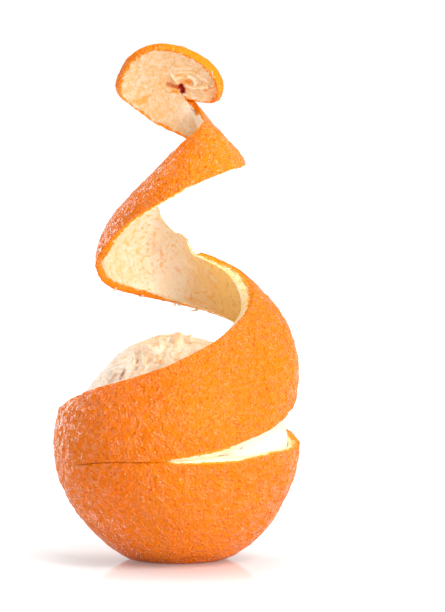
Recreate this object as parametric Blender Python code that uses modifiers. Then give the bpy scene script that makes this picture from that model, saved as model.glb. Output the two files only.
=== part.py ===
"""An orange whose peel has been cut in one continuous spiral.

The lower half of the peel is still a bowl round the fruit. Above it the peel
is one ribbon that climbs anticlockwise, two turns, and ends in the round piece
from the stem end, which leans forward and shows its pith side.

Units are metres, +Z is up, and the origin is the middle of the flat spot that
the orange rests on. Azimuth 0 is +X, and azimuths grow anticlockwise seen from
above. They run on past 360 degrees as the ribbon climbs.
"""
import bpy
import bmesh
import numpy as np
from math import radians, degrees, sin, cos, pi
from mathutils import Vector

MM = 0.001

# ---- driving dimensions, millimetres and degrees --------------------------
PEEL_R = 40.5            # outer radius of the whole orange
CENTRE_H = 37.5          # height of the orange's centre above its flat spot
BASE_SOFT = 0.8          # how gently the flat spot runs into the globe
PEEL_T = 3.8             # thickness of the peel
FRUIT_GAP = 0.55         # from the peel's pith to the fruit
SEGMENTS = 10            # segments of the fruit
GROOVE = 0.55            # depth of the furrow between two segments
CUT_START = -144.0       # azimuth where the spiral cut begins
TURN = 360.0
STRIP_END = 780.0        # azimuth where the ribbon runs into the stem piece
SKEW_FROM = 730.0        # from here the ribbon's cross sections lean forward
SKEW = 18.0
CAP_SCAR = (1.0, 12.5, 155.0)   # stem scar, in the middle of the stem piece
CAP_LEAN = 30.0          # lean of the stem piece from upright
CAP_DOME = 45.0          # radius of the stem piece's dome

# The two cut edges: azimuth, distance from the axis, height.
# Upper edge: the rim of the bowl, then the top of the ribbon.
UPPER_EDGE = (
    (-144, 40.3, 33.2), (-127, 40.4, 34.5), (-60, 40.4, 35.2),
    (-36, 40.5, 36.9), (-6, 40.5, 37.2), (24, 40.3, 41.3),
    (105, 39.8, 45.4), (150, 39.3, 48.0), (185, 38.3, 50.6),
    (217, 35.3, 57.2), (245, 32.6, 62.0), (273, 29.6, 67.2),
    (300, 27.0, 72.8), (330, 25.4, 79.8), (360, 25.0, 87.5),
    (385, 24.9, 93.0), (425, 24.8, 99.2), (436, 24.7, 100.9),
    (446, 24.3, 104.8), (465, 23.3, 113.6), (490, 21.2, 116.2),
    (540, 17.0, 116.4), (585, 14.0, 125.0), (630, 12.7, 135.2),
    (655, 12.5, 139.9), (680, 11.0, 143.2), (715, 9.7, 145.3),
    (750, 10.6, 145.9), (775, 12.3, 148.5), (798, 14.5, 151.6),
)
# Lower edge of the ribbon.
LOWER_EDGE = (
    (216, 40.3, 33.2), (233, 40.4, 34.95), (258, 40.5, 35.95),
    (281, 40.5, 37.8), (315, 40.0, 44.0), (345, 39.1, 50.6),
    (360, 38.8, 53.2), (390, 37.0, 66.5), (418, 34.8, 76.4),
    (447, 33.4, 81.7), (476, 31.2, 85.5), (505, 28.6, 89.3),
    (530, 27.1, 95.0), (557, 26.3, 100.8), (605, 25.3, 114.8),
    (651, 24.3, 125.0), (680, 23.3, 128.2), (705, 22.8, 129.4),
    (740, 22.0, 131.3), (780, 20.7, 135.7),
)
# Radius of the ribbon's crosswise curve, by azimuth of its lower edge.
CROSS_CURVE = (
    (216, 40.5), (300, 40.0), (340, 31.0), (375, 29.0), (420, 34.0),
    (480, 32.0), (540, 25.0), (630, 25.0), (700, 22.0), (740, 24.0),
    (780, 38.0),
)
# Thickness of the peel, by azimuth: the ribbon thins as it climbs.
THICKNESS = (
    (-144, 3.8), (330, 3.8), (355, 4.4), (385, 4.0), (420, 3.0),
    (450, 2.6), (780, 2.5),
)
# Outline of the stem piece: angle from the ribbon's last section, radius.
CAP_OUTLINE = (
    (0, 21.8), (18, 17.6), (45, 14.8), (68, 14.7), (88, 15.7), (103, 17.8),
    (116, 20.6), (141, 21.8), (162, 22.0), (178, 21.0), (202, 17.9),
    (217, 16.1), (246, 14.8), (280, 14.6), (300, 13.6), (311, 12.6),
    (319, 10.8), (329, 7.9), (342, 5.4), (357, 4.3),
)

# ---- mesh density -----------------------------------------------------------
BOWL_COLS = 48           # round the bowl
BOWL_ROWS = 10           # from the flat spot to the line of the cut
STRIP_COLS = 76          # along the ribbon
STRIP_ROWS = 6           # across the ribbon
CAP_COLS = 30
CAP_ROWS = 3             # from the end of the cut to the scar
FRUIT_COLS = 40
FRUIT_ROWS = 20


# ---- curves -----------------------------------------------------------------
def along(table, x):
    """Smooth curve through the rows of a table, read at x."""
    table = np.asarray(table, float)
    xs, ys = table[:, 0], table[:, 1:]
    step = np.diff(xs)
    slope = np.diff(ys, axis=0) / step[:, None]
    m = np.empty_like(ys)
    m[0], m[-1] = slope[0], slope[-1]
    m[1:-1] = ((slope[:-1] * step[1:, None] + slope[1:] * step[:-1, None])
               / (step[1:] + step[:-1])[:, None])
    i = int(np.clip(np.searchsorted(xs, x, side='right') - 1, 0, len(xs) - 2))
    t, h = (x - xs[i]) / step[i], step[i]
    return ((2 * t**3 - 3 * t**2 + 1) * ys[i] + (t**3 - 2 * t**2 + t) * h * m[i]
            + (3 * t**2 - 2 * t**3) * ys[i + 1] + (t**3 - t**2) * h * m[i + 1])


def ease(a, b, x):
    t = min(1.0, max(0.0, (x - a) / (b - a)))
    return t * t * (3 - 2 * t)


def bell(x, middle, width):
    return np.exp(-((x - middle) / width) ** 2)


def around(az, r, z):
    a = radians(az)
    return np.array((r * cos(a), r * sin(a), z))


# ---- the globe --------------------------------------------------------------
def globe(az, polar, radius, floor):
    """Point of the orange's round form; polar is 0 at the flat spot."""
    side = (az + 180) % 360 - 180
    slim = (0.9 * bell(side, 5, 45) * bell(polar, 66, 20)
            + 1.1 * bell(az % 360, 185, 60) * bell(polar, 50, 20))
    p = radians(polar)
    rr = radius - slim
    z = CENTRE_H - rr * cos(p) - floor
    if z < -BASE_SOFT:
        z = 0.0
    elif z < BASE_SOFT:
        z = (z + BASE_SOFT) ** 2 / (4 * BASE_SOFT)
    return around(az, rr * sin(p), z + floor)


def bowl_point(az, polar):
    """Outer side of the bowl, which meets the upper edge at its own radius."""
    r, z = along(UPPER_EDGE, az)
    reach = float(np.hypot(r, CENTRE_H - z))
    top = degrees(np.arctan2(r, CENTRE_H - z))
    return globe(az, polar, PEEL_R + (reach - PEEL_R) * ease(0.6 * top, top, polar), 0.0)


def rim_polar(az):
    r, z = along(UPPER_EDGE, az)
    return degrees(np.arctan2(r, CENTRE_H - z))


# ---- the stem piece's own axes ----------------------------------------------
SCAR = np.array(CAP_SCAR)
CAP_X = np.array((1.0, 0.0, 0.0))
CAP_Y = np.array((0.0, -sin(radians(CAP_LEAN)), cos(radians(CAP_LEAN))))
CAP_N = np.array((0.0, cos(radians(CAP_LEAN)), sin(radians(CAP_LEAN))))


def cap_point(angle, radius):
    a, b = radius * cos(radians(angle)), radius * sin(radians(angle))
    return SCAR + a * CAP_X + b * CAP_Y - radius**2 / (2 * CAP_DOME) * CAP_N


def strip_point(az, v):
    """Outer side of the ribbon: v is 0 at its lower edge, 1 at its upper."""
    lean = SKEW * ease(SKEW_FROM, STRIP_END, az)
    low = around(az, *along(LOWER_EDGE, az))
    high = around(az + lean, *along(UPPER_EDGE, az + lean))
    chord = high - low
    width = np.linalg.norm(chord)
    mid_az = radians(az + lean / 2)
    out = np.cross((-sin(mid_az), cos(mid_az), 0.0), chord)
    out /= np.linalg.norm(out)
    bend = float(along(CROSS_CURVE, az)[0])
    half = np.arcsin(min(0.99, width / 2 / bend))
    q = (2 * v - 1) * half
    p = ((low + high) / 2 + chord / width * bend * np.sin(q)
         + out * bend * (np.cos(q) - np.cos(half)))
    # the last stretch settles onto the dome of the stem piece
    settle = ease(720, STRIP_END, az)
    d = p - SCAR
    a, b, h = d @ CAP_X, d @ CAP_Y, d @ CAP_N
    return p + settle * (-(a * a + b * b) / (2 * CAP_DOME) - h) * CAP_N


def cap_polar(p):
    d = p - SCAR
    a, b = d @ CAP_X, d @ CAP_Y
    return degrees(np.arctan2(b, a)), float(np.hypot(a, b))


# ---- the peel's outer skin --------------------------------------------------
def peel_columns():
    """Columns of (point, thickness) from bowl pole to scar, sharing corners."""
    verts, thick, faces = [], [], []

    def put(p, t):
        verts.append(Vector(p) * MM)
        thick.append(t)
        return len(verts) - 1

    def quads(left, right):
        for j in range(len(left) - 1):
            ring = [left[j], right[j], right[j + 1], left[j + 1]]
            ring = [v for k, v in enumerate(ring) if v != ring[k - 1]]
            if len(set(ring)) >= 3:
                faces.append(ring)

    def wall(az):
        return float(along(THICKNESS, az)[0])

    # bowl: from the pole up to the line where the cut runs in, then the part
    # that turns into the ribbon; at the start of the cut that part has no width
    pole = put(globe(0, 0, PEEL_R, 0), PEEL_T)
    start_polar = rim_polar(CUT_START)
    full = rim_polar(CUT_START + TURN) - start_polar
    tip = put(bowl_point(CUT_START, start_polar), PEEL_T)
    first = None
    last = None
    for i in range(BOWL_COLS + 1):
        az = CUT_START + TURN * i / BOWL_COLS
        top = rim_polar(az)
        band = full * min(1.0, (i / BOWL_COLS) / 0.28) ** 0.8
        low = top - band
        col = [pole]
        for j in range(1, BOWL_ROWS):
            col.append(put(bowl_point(az, low * j / BOWL_ROWS), PEEL_T))
        if i == 0:
            col += [tip] * (STRIP_ROWS + 1)
            first = col
        elif i == BOWL_COLS:
            col = first[:BOWL_ROWS + 1]
            for j in range(1, STRIP_ROWS + 1):
                col.append(put(strip_point(az, j / STRIP_ROWS), PEEL_T))
        else:
            for j in range(STRIP_ROWS + 1):
                col.append(put(bowl_point(az, low + band * j / STRIP_ROWS), PEEL_T))
        if last:
            quads(last, col)
        last = col

    # ribbon
    col = [tip] + last[BOWL_ROWS + 1:]
    last = col
    for i in range(1, STRIP_COLS + 1):
        az = CUT_START + TURN + (STRIP_END - CUT_START - TURN) * i / STRIP_COLS
        col = [put(strip_point(az, j / STRIP_ROWS), wall(az))
               for j in range(STRIP_ROWS + 1)]
        quads(last, col)
        last = col

    # stem piece: the same columns, carried on to the scar, once round it
    thin = wall(STRIP_END)
    scar = put(cap_point(0, 0), thin)
    from_angle, outer = cap_polar(strip_point(STRIP_END, 0.0))
    notch_angle, inner = cap_polar(strip_point(STRIP_END, 1.0))
    sweep = TURN - (notch_angle - from_angle)
    notch = last[-1]
    spokes = [put(cap_point(notch_angle, inner * (1 - k / CAP_ROWS)), thin)
              for k in range(1, CAP_ROWS)]
    last = last + spokes + [scar]
    for i in range(1, CAP_COLS + 1):
        turn = sweep * i / CAP_COLS
        if i == CAP_COLS:
            col = [notch] * (STRIP_ROWS + 1) + spokes + [scar]
        else:
            edge = float(along(CAP_OUTLINE, turn * 357 / sweep)[0])
            share = (1 - inner / outer) * min(1.0, (1 - i / CAP_COLS) / 0.35)
            col = []
            for j in range(STRIP_ROWS + 1):
                col.append(put(cap_point(from_angle - turn,
                                         edge * (1 - share * j / STRIP_ROWS)), thin))
            for k in range(1, CAP_ROWS):
                col.append(put(cap_point(from_angle - turn,
                                         edge * (1 - share) * (1 - k / CAP_ROWS)), thin))
            col.append(scar)
        quads(last, col)
        last = col
    return verts, thick, faces


def tidy_mesh(name, verts, faces, material):
    mesh = bpy.data.meshes.new(name)
    mesh.from_pydata(verts, [], faces)
    mesh.materials.append(material)
    mesh.validate()
    return mesh


def plain_material(name, color, roughness):
    mat = bpy.data.materials.new(name)
    mat.use_nodes = True
    shader = mat.node_tree.nodes["Principled BSDF"]
    shader.inputs["Base Color"].default_value = (*color, 1.0)
    shader.inputs["Roughness"].default_value = roughness
    shader.inputs["Metallic"].default_value = 0.0
    mat.diffuse_color = (*color, 1.0)
    return mat


def make_peel(collection):
    verts, thick, faces = peel_columns()
    mesh = tidy_mesh("peel", verts, faces,
                     plain_material("peel", (0.90, 0.33, 0.03), 0.4))
    peel = bpy.data.objects.new("peel", mesh)
    collection.objects.link(peel)
    group = peel.vertex_groups.new(name="wall")
    most = max(thick)
    for i, t in enumerate(thick):
        group.add([i], t / most, 'REPLACE')
    shell = peel.modifiers.new("wall", 'SOLIDIFY')
    shell.thickness = most * MM
    shell.offset = -1.0
    shell.use_even_offset = False
    shell.vertex_group = "wall"
    shell.thickness_vertex_group = 0.0
    return peel


def fruit_radius(az, polar):
    """Peeled fruit: furrows between the segments, a hollow at the stem end."""
    top = ease(95, 140, polar)
    furrow = GROOVE * top * (1 - ease(165, 180, polar)) * abs(cos(radians(az) * SEGMENTS / 2)) ** 6
    hollow = 0.5 * bell(polar, 180, 7)
    lumps = 0.35 * top * (sin(radians(3 * az + 40)) * sin(radians(4 * polar)) - 1)
    crown = 0.9 * bell(polar, 180, 26)
    shoulder = 1.3 * bell(az % 360, 200, 50) * bell(polar, 138, 22)
    return PEEL_R - PEEL_T - FRUIT_GAP - furrow - hollow + lumps + crown - shoulder


def make_fruit(collection):
    floor = PEEL_T + FRUIT_GAP
    bm = bmesh.new()
    bmesh.ops.create_uvsphere(bm, u_segments=FRUIT_COLS, v_segments=FRUIT_ROWS, radius=1.0)
    for v in bm.verts:
        az = degrees(np.arctan2(v.co.y, v.co.x))
        polar = degrees(np.arccos(max(-1.0, min(1.0, -v.co.z))))
        v.co = Vector(globe(az, polar, fruit_radius(az, polar), floor)) * MM
    mesh = bpy.data.meshes.new("fruit")
    bm.to_mesh(mesh)
    bm.free()
    mesh.materials.append(plain_material("fruit", (0.90, 0.76, 0.58), 0.7))
    fruit = bpy.data.objects.new("fruit", mesh)
    collection.objects.link(fruit)
    return fruit


def main():
    for obj in list(bpy.data.objects):
        bpy.data.objects.remove(obj, do_unlink=True)
    parts = bpy.data.collections.new("spiral_peeled_orange")
    bpy.context.scene.collection.children.link(parts)
    for obj in (make_peel(parts), make_fruit(parts)):
        obj.data.shade_smooth()
        obj.data.set_sharp_from_angle(angle=radians(40))
    bpy.context.view_layer.update()


main()
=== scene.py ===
"""Looks for the spirally peeled orange: fine peel and fruit meshes, materials, light and camera."""
from math import radians, degrees, sin, cos, pi
import bpy
import numpy as np
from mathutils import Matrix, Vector


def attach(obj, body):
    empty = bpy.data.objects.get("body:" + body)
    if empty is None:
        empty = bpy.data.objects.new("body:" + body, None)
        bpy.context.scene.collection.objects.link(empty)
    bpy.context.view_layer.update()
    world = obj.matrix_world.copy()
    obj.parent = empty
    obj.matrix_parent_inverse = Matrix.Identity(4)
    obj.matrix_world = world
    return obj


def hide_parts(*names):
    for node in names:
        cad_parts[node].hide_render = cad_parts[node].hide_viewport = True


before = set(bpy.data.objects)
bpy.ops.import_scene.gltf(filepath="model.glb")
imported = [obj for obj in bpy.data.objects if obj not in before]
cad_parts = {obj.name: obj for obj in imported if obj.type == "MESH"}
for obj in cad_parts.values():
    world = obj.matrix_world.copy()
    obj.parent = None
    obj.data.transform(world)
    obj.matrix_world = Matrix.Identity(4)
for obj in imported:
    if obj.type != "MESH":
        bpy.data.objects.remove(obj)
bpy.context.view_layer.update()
MM = 0.001

# ---------------------------------------------------------------- shape, as in the CAD part (mm, degrees)
PEEL_R, CENTRE_H, BASE_SOFT, PEEL_T, FRUIT_GAP = 40.5, 37.5, 0.8, 3.8, 0.55
CUT_START, TURN, STRIP_END, SKEW_FROM, SKEW = -144.0, 360.0, 780.0, 730.0, 18.0
SCAR = np.array((1.0, 12.5, 155.0))
CAP_LEAN, CAP_DOME = 30.0, 45.0
UPPER_EDGE = (
    (-144, 40.3, 33.2), (-127, 40.4, 34.5), (-60, 40.4, 35.2),
    (-36, 40.5, 36.9), (-6, 40.5, 37.2), (24, 40.3, 41.3),
    (105, 39.8, 45.4), (150, 39.3, 48.0), (185, 38.3, 50.6),
    (217, 35.3, 57.2), (245, 32.6, 62.0), (273, 29.6, 67.2),
    (300, 27.0, 72.8), (330, 25.4, 79.8), (360, 25.0, 87.5),
    (385, 24.9, 93.0), (425, 24.8, 99.2), (436, 24.7, 100.9),
    (446, 24.3, 104.8), (465, 23.3, 113.6), (490, 21.2, 116.2),
    (540, 17.0, 116.4), (585, 14.0, 125.0), (630, 12.7, 135.2),
    (655, 12.5, 139.9), (680, 11.0, 143.2), (715, 9.7, 145.3),
    (750, 10.6, 145.9), (775, 12.3, 148.5), (798, 14.5, 151.6),
)
LOWER_EDGE = (
    (216, 40.3, 33.2), (233, 40.4, 34.95), (258, 40.5, 35.95),
    (281, 40.5, 37.8), (315, 40.0, 44.0), (345, 39.1, 50.6),
    (360, 38.8, 53.2), (390, 37.0, 66.5), (418, 34.8, 76.4),
    (447, 33.4, 81.7), (476, 31.2, 85.5), (505, 28.6, 89.3),
    (530, 27.1, 95.0), (557, 26.3, 100.8), (605, 25.3, 114.8),
    (651, 24.3, 125.0), (680, 23.3, 128.2), (705, 22.8, 129.4),
    (740, 22.0, 131.3), (780, 20.7, 135.7),
)
CROSS_CURVE = (
    (216, 40.5), (300, 40.0), (340, 31.0), (375, 29.0), (420, 34.0),
    (480, 32.0), (540, 25.0), (630, 25.0), (700, 22.0), (740, 24.0),
    (780, 38.0),
)
THICKNESS = (
    (-144, 3.8), (330, 3.8), (355, 4.4), (385, 4.0), (420, 3.0),
    (450, 2.6), (780, 2.5),
)
CAP_OUTLINE = (
    (0, 21.8), (18, 17.6), (45, 14.8), (68, 14.7), (88, 15.7), (103, 17.8),
    (116, 20.6), (141, 21.8), (162, 22.0), (178, 21.0), (202, 17.9),
    (217, 16.1), (246, 14.8), (280, 14.6), (300, 13.6), (311, 12.6),
    (319, 10.8), (329, 7.9), (342, 5.4), (357, 4.3),
)

# edges of the cut, as distances past the plain edge line: zest and pith, upper and lower edge
UP_ZEST = (
    (216, 0.0), (263, 0.0), (276, 0.6), (286, 1.0), (300, 1.1), (316, 1.15), (326, 0.9), (336, 0.3), (346, 0.0),
    (434, 0.0), (780, 0.0),
)
UP_PITH = (
    (216, 0.0), (262, 0.1), (285, 2.1), (305, 3.0), (326, 3.0), (346, 2.4), (380, 2.4), (400, 1.3),
    (425, 0.3), (436, 0.0), (705, 0.0), (720, -1.3), (734, -2.5), (748, -2.5), (756, -1.1),
    (762, 0.0), (780, 0.0),
)
LOW_ZEST = ((216, 0.0), (252, 0.0), (266, -0.5), (282, -0.95), (296, -0.5), (312, 0.0), (780, 0.0))
LOW_PITH = (
    (216, 0.0), (226, 0.15), (240, 0.45), (262, 0.8), (285, 0.6), (310, 0.0),
    (370, -0.4), (395, -1.2), (480, -1.5), (505, -1.6), (530, -1.2), (545, 0.3), (552, 1.1), (572, 1.1),
    (590, 0.3), (640, 0.0), (730, 0.0), (780, 0.0),
)
SINK = (        # how far in the ribbon lies from the plain surface, next to the stem piece
    (216, 0.0), (686, 0.0), (700, 1.2), (714, 1.95), (742, 2.0), (749, 1.85), (755, 1.5), (761, 1.05), (767, 0.55),
    (773, 0.18), (780, 0.0),
)
RIM_PITH = ((-144, 0.0), (-125, 0.25), (-90, 0.45), (-40, 0.3), (40, 0.0), (216, 0.0))
# the torn stretch behind: pith reaches past the edge line in a flap, the zest is torn off short of it
TORN_PITH = (
    (216, 0.0), (425, 0.0), (430, 0.6), (436.2, 1.0), (437.6, 7.6), (439.1, 7.2), (441.6, 6.6), (444.1, 5.35),
    (446.6, 4.0), (449.1, 3.1), (451.6, 2.4), (454.1, 1.9), (456.6, 1.6), (459.1, 1.5), (461.7, 1.55),
    (464.2, 2.4), (466.7, 3.6), (472, 3.5), (482, 3.6), (490, 2.2), (500, 0.8), (515, 0.0), (780, 0.0),
)
TORN_ZEST = (
    (216, 0.0), (432, 0.0), (436.2, -2.2), (440.4, -2.7), (441.6, 1.9), (444.1, 1.6), (446.6, 0.5), (449.1, -1.0),
    (451.6, -2.3), (454.1, -2.8), (456.6, -3.1), (459.1, -3.1), (461.7, -2.6), (464.2, -1.8), (466.7, 0.2),
    (472, 0.6), (482, 0.8), (492, 0.3), (508, 0.0), (780, 0.0),
)
CAP_SLOPE = (
    (0, 0.1), (60, 0.1), (100, 0.2), (130, 0.2), (160, -0.1), (200, -0.2), (225, 0.3),
    (250, 0.9), (285, 1.0), (305, 0.9), (325, 1.6), (345, 1.6), (357, 0.5),
)
BEAK = (    # how far its tip stands out
    (0, 0.0), (285, 0.0), (300, 0.4), (308, 0.6), (316, 1.5), (324, 0.7), (332, 0.4), (343, 0.2), (357, 0.0),
)

# the crack at the foot of the ribbon: where its cut faces part (azimuths), and how far each reaches over
CRACK_OPENS, CRACK_MEET = (284, 312), 0.5

# mesh density
NA, NB, NU = 380, 70, 40        # round the bowl; pole to cut; across the ribbon
NS, NC, NK = 450, 150, 14       # along the ribbon; round the stem piece; cut's end to scar
WALL = 5                        # steps down a cut face


# ---------------------------------------------------------------- small maths
def along(table, x):
    t_ = np.asarray(table, float)
    xs, ys = t_[:, 0], t_[:, 1:]
    step = np.diff(xs)
    slope = np.diff(ys, axis=0) / step[:, None]
    m = np.empty_like(ys)
    m[0], m[-1] = slope[0], slope[-1]
    m[1:-1] = (slope[:-1] * step[1:, None] + slope[1:] * step[:-1, None]) / (step[1:] + step[:-1])[:, None]
    x = np.asarray(x, float)
    i = np.clip(np.searchsorted(xs, x, side='right') - 1, 0, len(xs) - 2)
    t, h = ((x - xs[i]) / step[i])[..., None], step[i][..., None]
    r = ((2 * t**3 - 3 * t**2 + 1) * ys[i] + (t**3 - 2 * t**2 + t) * h * m[i]
         + (3 * t**2 - 2 * t**3) * ys[i + 1] + (t**3 - t**2) * h * m[i + 1])
    return r[..., 0] if r.shape[-1] == 1 else r


def steps(table, x):
    """Eases from each value of the table to the next, level at each."""
    t_ = np.asarray(table, float)
    x = np.clip(np.asarray(x, float), t_[0, 0], t_[-1, 0])
    i = np.clip(np.searchsorted(t_[:, 0], x, side='right') - 1, 0, len(t_) - 2)
    f = (x - t_[i, 0]) / (t_[i + 1, 0] - t_[i, 0])
    f = f * f * (3 - 2 * f)
    return t_[i, 1] * (1 - f) + t_[i + 1, 1] * f


def ease(a, b, x):
    t = np.clip((np.asarray(x, float) - a) / (b - a), 0, 1)
    return t * t * (3 - 2 * t)


def bell(x, middle, width):
    return np.exp(-((x - middle) / width) ** 2)


def around(az, r, z):
    a = np.radians(az)
    return np.stack(np.broadcast_arrays(r * np.cos(a), r * np.sin(a), z), -1)


def lattice(i, j, k, seed):
    h = (i * 374761393 + j * 668265263 + k * 1440662683 + seed * 1274126177) & 0xffffffff
    h = ((h ^ (h >> 13)) * 1274126177) & 0xffffffff
    return ((h ^ (h >> 16)) & 0xffffff) / float(0xffffff)


def noise(p, size, seed=0):
    """Smooth noise from -1 to 1; size is the length of one bump, in the units of p."""
    q = p / size + 1000.0
    i = np.floor(q).astype(np.int64)
    f = q - i
    f = f * f * f * (f * (f * 6 - 15) + 10)
    out = 0
    for dx in (0, 1):
        for dy in (0, 1):
            for dz in (0, 1):
                w = ((f[..., 0] if dx else 1 - f[..., 0]) * (f[..., 1] if dy else 1 - f[..., 1])
                     * (f[..., 2] if dz else 1 - f[..., 2]))
                out = out + w * lattice(i[..., 0] + dx, i[..., 1] + dy, i[..., 2] + dz, seed)
    return out * 2 - 1


def fbm(p, size, seed=0, octaves=3):
    return sum(noise(p, size / 2**o, seed + 17 * o) / 2**o for o in range(octaves)) / (2 - 2 ** (1 - octaves))


def cells(p, size, seed=0):
    """Distance to the nearest of a scatter of points, in units of size."""
    q = p / size + 1000.0
    base = np.floor(q).astype(np.int64)
    best = np.full(p.shape[:-1], 9.0)
    for dx in (-1, 0, 1):
        for dy in (-1, 0, 1):
            for dz in (-1, 0, 1):
                c = base + np.array((dx, dy, dz))
                pt = np.stack([c[..., a] + 0.15 + 0.7 * lattice(c[..., 0], c[..., 1], c[..., 2], seed + 31 * a)
                               for a in range(3)], -1)
                best = np.minimum(best, np.linalg.norm(q - pt, axis=-1))
    return best


def stroke(ab, pts):
    """Distance from points of a plane to a bent line through pts."""
    pts = np.asarray(pts, float)
    d = np.full(ab.shape[:-1], 1e9)
    for a, b in zip(pts[:-1], pts[1:]):
        e = b - a
        t = np.clip(((ab - a) @ e) / (e @ e), 0, 1)
        d = np.minimum(d, np.linalg.norm(ab - a - t[..., None] * e, axis=-1))
    return d


# ---------------------------------------------------------------- the orange's surfaces
def globe(az, polar, radius, floor):
    side = (az + 180) % 360 - 180
    slim = (0.9 * bell(side, 5, 45) * bell(polar, 66, 20)
            + 1.1 * bell(az % 360, 185, 60) * bell(polar, 50, 20))
    p = np.radians(polar)
    rr = radius - slim
    z = CENTRE_H - rr * np.cos(p) - floor
    z = np.where(z < -BASE_SOFT, 0.0, np.where(z < BASE_SOFT, (z + BASE_SOFT) ** 2 / (4 * BASE_SOFT), z))
    return around(az, rr * np.sin(p), z + floor)


def rim_polar(az):
    e = along(UPPER_EDGE, az)
    return np.degrees(np.arctan2(e[..., 0], CENTRE_H - e[..., 1]))


def bowl_point(az, polar):
    e = along(UPPER_EDGE, az)
    reach = np.hypot(e[..., 0], CENTRE_H - e[..., 1])
    top = np.degrees(np.arctan2(e[..., 0], CENTRE_H - e[..., 1]))
    t = np.clip((polar - 0.6 * top) / (0.4 * top), 0, 1)
    return globe(az, polar, PEEL_R + (reach - PEEL_R) * t * t * (3 - 2 * t), 0.0)


CAP_X = np.array((1.0, 0.0, 0.0))
CAP_Y = np.array((0.0, -sin(radians(CAP_LEAN)), cos(radians(CAP_LEAN))))
CAP_N = np.array((0.0, cos(radians(CAP_LEAN)), sin(radians(CAP_LEAN))))


def cap_point(angle, radius):
    t = np.radians(angle)
    a, b = radius * np.cos(t), radius * np.sin(t)
    return SCAR + a[..., None] * CAP_X + b[..., None] * CAP_Y - (radius**2 / (2 * CAP_DOME))[..., None] * CAP_N


def strip_point(az, v):
    lean = SKEW * ease(SKEW_FROM, STRIP_END, az)
    lo_, hi_ = along(LOWER_EDGE, az), along(UPPER_EDGE, az + lean)
    low, high = around(az, lo_[..., 0], lo_[..., 1]), around(az + lean, hi_[..., 0], hi_[..., 1])
    chord = high - low
    width = np.linalg.norm(chord, axis=-1)
    m = np.radians(az + lean / 2)
    out = np.cross(np.stack([-np.sin(m), np.cos(m), 0 * m], -1), chord)
    out /= np.linalg.norm(out, axis=-1)[..., None]
    bend = along(CROSS_CURVE, az)
    half = np.arcsin(np.minimum(0.99, width / 2 / bend))
    q = (2 * v - 1) * half
    p = ((low + high) / 2 + chord / width[..., None] * (bend * np.sin(q))[..., None]
         + out * (bend * (np.cos(q) - np.cos(half)))[..., None])
    settle = ease(720, STRIP_END, az)
    d = p - SCAR
    a, b, h = d @ CAP_X, d @ CAP_Y, d @ CAP_N
    return p + (settle * (-(a * a + b * b) / (2 * CAP_DOME) - h))[..., None] * CAP_N


def cap_polar(p):
    d = p - SCAR
    a, b = d @ CAP_X, d @ CAP_Y
    return np.degrees(np.arctan2(b, a)), np.hypot(a, b)


# ---------------------------------------------------------------- peel: one closed mesh
class Sheet:
    """Collects the outer skin's points, with the azimuth and the place across the ribbon of each."""

    def __init__(self):
        self.n = 0
        self.p, self.az, self.v, self.kind = [], [], [], []

    def put(self, p, az, v, kind):
        p = np.asarray(p, float).reshape(-1, 3)
        k = len(p)
        self.p.append(p)
        for store, val in ((self.az, az), (self.v, v), (self.kind, kind)):
            store.append(np.broadcast_to(np.asarray(val, float), (k,)).copy())
        self.n += k
        return np.arange(self.n - k, self.n)

    def done(self):
        self.p, self.az = np.concatenate(self.p), np.concatenate(self.az)
        self.v, self.kind = np.concatenate(self.v), np.concatenate(self.kind)


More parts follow.
